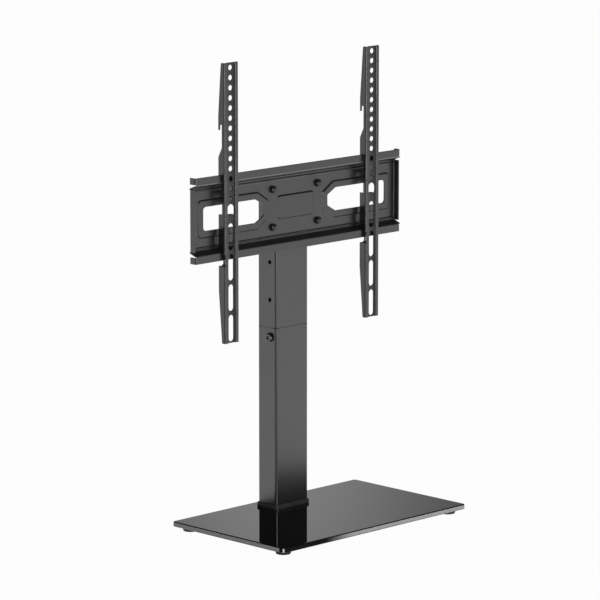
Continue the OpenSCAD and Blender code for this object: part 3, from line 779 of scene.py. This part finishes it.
class STAND_OT_column(Operator):
    """Give the column's tubes their powder coat, and the pieces inside and below it their steel and rubber"""

    bl_idname = "stand.column"
    bl_label = "Column"

    def execute(self, context):
        coat = powder_coated(
            "column_coat", looks().paint, looks().column_gloss, 1.0, tube_corners(*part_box("column_lower")),
            grain=700.0, depth=0.012 * MM, rub=0.1,
        )
        hidden = blackened_steel("hidden_finish", (0.12, 0.12, 0.125), 0.45, mottle=0.06)
        for node in ("column_lower", "column_upper"):
            dress(node, coat)
        for node in ("inner_tube", "clamp_nut", "foot_block", "clamp_plate", "base_screws"):
            dress(node, hidden)
        for node in ("pad_over_glass", "pad_under_glass", "glass_bushes"):
            dress(node, foot_rubber())
        return {"FINISHED"}


class STAND_OT_wall_plate(Operator):
    """Give the wall plate and its head plate their powder coat, and weld the head plate to the column"""

    bl_idname = "stand.wall_plate"
    bl_label = "Wall plate"

    def execute(self, context):
        for node in ("wall_plate", "head_plate"):
            dress(node, paint_plate())
        low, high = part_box("head_plate")
        column_low, column_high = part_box("column_upper")
        ends, taper_length, ripple_pitch, sag, sunk = 6 * MM, 3 * MM, 2.4 * MM, 0.35 * MM, 1.5 * MM
        overlap = 0.35
        z = np.linspace(low.z + ends, min(high.z, column_high.z) - ends, 180)
        angle = np.linspace(-overlap, math.pi / 2 + overlap, 14)
        taper = np.clip(np.minimum(z - z[0], z[-1] - z) / taper_length, 0.15, 1) ** 0.5
        ripple = 1 + 0.07 * np.abs(np.sin(math.pi * z / ripple_pitch))
        radius = sizes().weld * 0.93 * taper[:, None] * ripple[:, None]
        y = column_low.y + radius * np.sin(angle)
        height = z[:, None] + sag * np.sin(angle * 2)
        beads = []
        for side in (-1, 1):
            x = side * (column_high.x - sunk + radius * np.cos(angle))
            beads.append(grid_part(np.stack([x, y, height], axis=2)))
        piece = make_piece("weld_beads", beads, crease=70.0)
        finish_piece(piece, "riser", "plate_paint", paint_plate())
        return {"FINISHED"}


class STAND_OT_arms(Operator):
    """Give the arms and their ledges their powder coat"""

    bl_idname = "stand.arms"
    bl_label = "Arms"

    def execute(self, context):
        for side in ("left", "right"):
            low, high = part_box(f"arm_{side}")
            coat = powder_coated(
                f"arm_coat_{side}", looks().paint, looks().plate_gloss, 0.86, SHEET_BEND,
                duller=pad_wear((low.x + high.x) / 2),
            )
            for node in (f"arm_{side}", f"lock_ledge_{side}"):
                dress(node, coat)
        return {"FINISHED"}


class STAND_OT_plate_bolts(Operator):
    """Build the four plate bolts with their washers and nuts"""

    bl_idname = "stand.plate_bolts"
    bl_label = "Plate bolts"

    def execute(self, context):
        steel, n = screw_steel(), sizes().columns
        washer_low, washer_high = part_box("plate_washers")
        bolt_low, bolt_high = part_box("plate_bolts")
        nut_low, nut_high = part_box("plate_nuts")
        washer_r, washer_t, across, thread_r = 6.25 * MM, 0.8 * MM, 10 * MM, 3 * MM
        head, tail = washer_low.y - bolt_low.y, bolt_high.y - washer_low.y
        span_x = (washer_high.x - washer_low.x) / 2 - washer_r
        span_z = (washer_high.z - washer_low.z) / 2 - washer_r
        middle_z = (washer_high.z + washer_low.z) / 2
        bolt = hexagon_rings(across, 0, head, n) + [(thread_r, 0.0)]
        bolt += shank_rings(thread_r, sizes().plate_bolt_pitch, tail, 0.2 * MM, 0.5 * MM, 0.7 * MM, n)
        hole = thread_r + 0.1 * MM
        washer = rounded_profile(
            [(hole, 0), (washer_r, 0), (washer_r, -washer_t), (hole, -washer_t), (hole, 0)],
            [0.2 * MM, 0.1 * MM, 0.1 * MM],
        )[:-1]
        bolts, washers, nuts = [], [], []
        for x in (-span_x, span_x):
            for z in (middle_z - span_z, middle_z + span_z):
                place, nut_place = (x, washer_low.y, z), (x, nut_high.y, z)
                bolts.append(turned_part(bolt, n, "-Y", place))
                washers.append(turned_part(washer, n, "-Y", place, close_rows=True))
                nuts.append(nut_part(across, thread_r + BORE_PLAY, nut_high.y - nut_low.y, n, "-Y", nut_place))
        finish_piece(make_piece("hex_bolts", bolts), "riser", "screw_steel", steel, "plate_bolts")
        finish_piece(make_piece("bolt_washers", washers), "riser", "screw_steel", steel, "plate_washers")
        finish_piece(make_piece("bolt_nuts", nuts), "riser", "screw_steel", steel, "plate_nuts")
        return {"FINISHED"}


class STAND_OT_clamp_bolt(Operator):
    """Build the clamp bolt in the side of the column"""

    bl_idname = "stand.clamp_bolt"
    bl_label = "Clamp bolt"

    def execute(self, context):
        low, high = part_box("clamp_bolt")
        column_low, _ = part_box("column_lower")
        n, r = sizes().columns, (high.z - low.z) / 2
        head, length = column_low.x - low.x, high.x - column_low.x
        thread, pitch, round_edge, flank = 4 * MM, 1.25 * MM, 1.0 * MM, 0.5 * MM
        rings = socket_rings(5 * MM, 1.7 * MM, head, n)
        rings += [
            (r - round_edge + round_edge * math.sin(a), flank + (head - flank) * math.cos(a))
            for a in np.linspace(0, math.pi / 2, 8)
        ]
        rings += [(r, 0.0), (thread, 0.0)]
        rings += shank_rings(thread, pitch, length, 0.3 * MM, 0.6 * MM, 0.8 * MM, n)
        place = (column_low.x, (low.y + high.y) / 2, (low.z + high.z) / 2)
        piece = make_piece("clamp_screw", [turned_part(rings, n, "-X", place)])
        polished = blackened_steel("clamp_finish", looks().clamp, 0.24, metallic=0.9)
        finish_piece(piece, "clamp_bolt", "screw_steel", polished, "clamp_bolt")
        return {"FINISHED"}


class STAND_OT_locks(Operator):
    """Build the lock screw and the nut under each arm's rail"""

    bl_idname = "stand.locks"
    bl_label = "Lock screws"

    def execute(self, context):
        n, steel = sizes().columns, screw_steel()
        thread, head = sizes().lock_thread / 2, sizes().lock_thread
        top_edge, low_edge = 0.3 * MM, 0.2 * MM
        for side in ("left", "right"):
            low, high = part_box(f"lock_screw_{side}")
            r, shank = (high.x - low.x) / 2, high.z - low.z - head
            rings = socket_rings(0.83 * head, head / 2, head, n)
            rings += [(r - top_edge, head), (r, head - top_edge), (r, low_edge), (r - low_edge, 0.0), (thread, 0.0)]
            rings += shank_rings(thread, sizes().lock_pitch, shank, 0.2 * MM, 0.4 * MM, 0.4 * MM, n)
            part = turned_part(rings, n, "-Z", over_middle(low, high, low.z + head))
            screw = make_piece(f"lock_bolt_{side}", [part])
            finish_piece(screw, f"{side}_lock", "screw_steel", steel, f"lock_screw_{side}")

            low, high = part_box(f"lock_nut_{side}")
            place = over_middle(low, high, low.z)
            part = nut_part(high.y - low.y, thread + BORE_PLAY, high.z - low.z, n, "+Z", place)
            nut = make_piece(f"hex_nut_{side}", [part])
            finish_piece(nut, f"{side}_arm", "screw_steel", steel, f"lock_nut_{side}")
        return {"FINISHED"}


# Studio


def studio_floor(colour):
    """A pale floor that is white to the camera and in reflections, and keeps a soft shadow.

    In reflections it is darker in a wedge towards the camera, by the ratio of the distances aside and ahead.
    """
    material, tree, shader = new_material("studio_floor")
    tree.nodes.remove(shader)
    seen = put(tree, "ShaderNodeLightPath").outputs
    shown = maths(tree, "MAXIMUM", seen["Is Camera Ray"], seen["Is Glossy Ray"])
    shown = maths(tree, "MAXIMUM", shown, seen["Is Transmission Ray"])
    aside = maths(tree, "ABSOLUTE", surface_along(tree, ASIDE))
    ahead = maths(tree, "MAXIMUM", surface_along(tree, TOWARDS), MM)
    wedge = ranged(tree, maths(tree, "DIVIDE", aside, ahead), MAT_LEVEL, 1.0, *MAT_SPREAD, smooth=True)
    level = maths(tree, "MAXIMUM", wedge, seen["Is Camera Ray"])
    lit = put(tree, "ShaderNodeBsdfDiffuse", inputs={"Color": (*colour, 1.0)}).outputs[0]
    white = put(tree, "ShaderNodeEmission", inputs={"Color": (1, 1, 1, 1), "Strength": level}).outputs[0]
    share = maths(tree, "MULTIPLY", shown, FLOOR_GLOW)
    mixed = put(tree, "ShaderNodeMixShader", inputs={0: share, 1: lit, 2: white}).outputs[0]
    feed(tree, tree.nodes["Material Output"], {"Surface": mixed})
    return material


def backdrop_paper(level, lowest):
    """Pale paper behind the stand, white to the camera.

    In reflections it is brightest near its middle and falls off sideways, and it fades to the lowest level at its
    ends and its top.
    """
    material, tree, shader = new_material("backdrop_paper")
    tree.nodes.remove(shader)
    away = maths(tree, "ABSOLUTE", maths(tree, "ADD", surface_along(tree, ASIDE), BACKDROP_SHIFT))
    glowing = ranged(tree, away, level, BACKDROP_EDGE * level, end=BACKDROP_REACH, smooth=True)
    for distance, fade in ((away, BACKDROP_ENDS), (surface_parts(tree)["Z"], BACKDROP_TOP)):
        glowing = maths(tree, "MULTIPLY", glowing, ranged(tree, distance, 1.0, 0.0, *fade, smooth=True))
    glowing = maths(tree, "MAXIMUM", glowing, lowest)
    strength = maths(tree, "MAXIMUM", put(tree, "ShaderNodeLightPath").outputs["Is Camera Ray"], glowing)
    glow = put(tree, "ShaderNodeEmission", inputs={"Color": (1, 1, 1, 1), "Strength": strength}).outputs[0]
    feed(tree, tree.nodes["Material Output"], {"Surface": glow})
    return material


def area_lamp(name, place, target, size, power, in_reflections):
    """A rectangular lamp that the camera doesn't see, turned towards its target."""
    lamp = bpy.data.lights.new(name, "AREA")
    lamp.shape, lamp.size, lamp.size_y, lamp.energy = "RECTANGLE", size[0], size[1], power
    holder = bpy.data.objects.new(name, lamp)
    bpy.context.scene.collection.objects.link(holder)
    holder.location = place
    holder.rotation_euler = (Vector(target) - Vector(place)).to_track_quat("-Z", "Y").to_euler()
    holder.visible_glossy = in_reflections
    holder.visible_camera = False


class STAND_OT_studio(Operator):
    """Set up the floor, the backdrop, the lamps, the world and the camera"""

    bl_idname = "stand.studio"
    bl_label = "Studio"

    def execute(self, context):
        scene, studio = context.scene, context.scene.stand_studio
        floor = make_piece("floor", [grid_part(turned_rings([(r, 0.0) for r in FLOOR_RADII], FLOOR_STEPS))])
        floor.data.materials.append(studio_floor(studio.floor))
        angle = np.radians(np.linspace(*BACKDROP_ANGLES, BACKDROP_GRID[1]))
        height = np.linspace(0.0, BACKDROP_HEIGHT, BACKDROP_GRID[0])[:, None]
        sides = (BACKDROP_DISTANCE * np.cos(angle), BACKDROP_DISTANCE * np.sin(angle), height)
        points = np.stack([np.broadcast_to(side, BACKDROP_GRID) for side in sides], axis=2)
        backdrop = make_piece("backdrop", [grid_part(points, close_columns=False, capped=False)])
        backdrop.data.materials.append(backdrop_paper(studio.backdrop, studio.sky))

        world = bpy.data.worlds.new("studio")
        world.use_nodes = True
        scene.world = world
        tree = world.node_tree
        seen = put(tree, "ShaderNodeLightPath").outputs["Is Camera Ray"]
        level = ranged(tree, seen, studio.sky, 1.0)
        feed(tree, tree.nodes["Background"], {"Color": (1, 1, 1, 1), "Strength": level})
        for lamp in LAMPS:
            area_lamp(*lamp)

        camera = bpy.data.cameras.new("camera")
        camera.lens, camera.sensor_width, camera.clip_end = studio.lens, CAMERA_SENSOR, CAMERA_REACH
        camera.shift_x, camera.shift_y = CAMERA_SHIFT
        holder = bpy.data.objects.new("camera", camera)
        holder.location = CAMERA_PLACE
        holder.rotation_euler = [math.radians(turn) for turn in CAMERA_TURN]
        scene.collection.objects.link(holder)
        scene.camera = holder
        scene.view_settings.view_transform = "Standard"
        return {"FINISHED"}


BUILDERS = (
    STAND_OT_studio, STAND_OT_glass, STAND_OT_feet, STAND_OT_column, STAND_OT_trim, STAND_OT_wall_plate,
    STAND_OT_plate_bolts, STAND_OT_clamp_bolt, STAND_OT_arms, STAND_OT_locks,
)


class STAND_PT_panel(Panel):
    """The stand's settings and builders"""

    bl_idname = "STAND_PT_panel"
    bl_label = "Television stand"
    bl_space_type = "VIEW_3D"
    bl_region_type = "UI"
    bl_category = "TV stand"

    def draw(self, context):
        for group in (context.scene.stand_sizes, context.scene.stand_looks, context.scene.stand_studio):
            box = self.layout.box()
            for key in group.__annotations__:
                box.prop(group, key)
        for builder in BUILDERS:
            self.layout.operator(builder.bl_idname)


CLASSES = (StandSizes, StandLooks, StudioSettings, *BUILDERS, STAND_PT_panel)


def register():
    for cls in CLASSES:
        bpy.utils.register_class(cls)
    bpy.types.Scene.stand_sizes = PointerProperty(type=StandSizes)
    bpy.types.Scene.stand_looks = PointerProperty(type=StandLooks)
    bpy.types.Scene.stand_studio = PointerProperty(type=StudioSettings)


def unregister():
    del bpy.types.Scene.stand_sizes, bpy.types.Scene.stand_looks, bpy.types.Scene.stand_studio
    for cls in reversed(CLASSES):
        bpy.utils.unregister_class(cls)


def main():
    register()
    for builder in BUILDERS:
        group, action = builder.bl_idname.split(".")
        getattr(getattr(bpy.ops, group), action)()


if __name__ == "__main__":
    main()
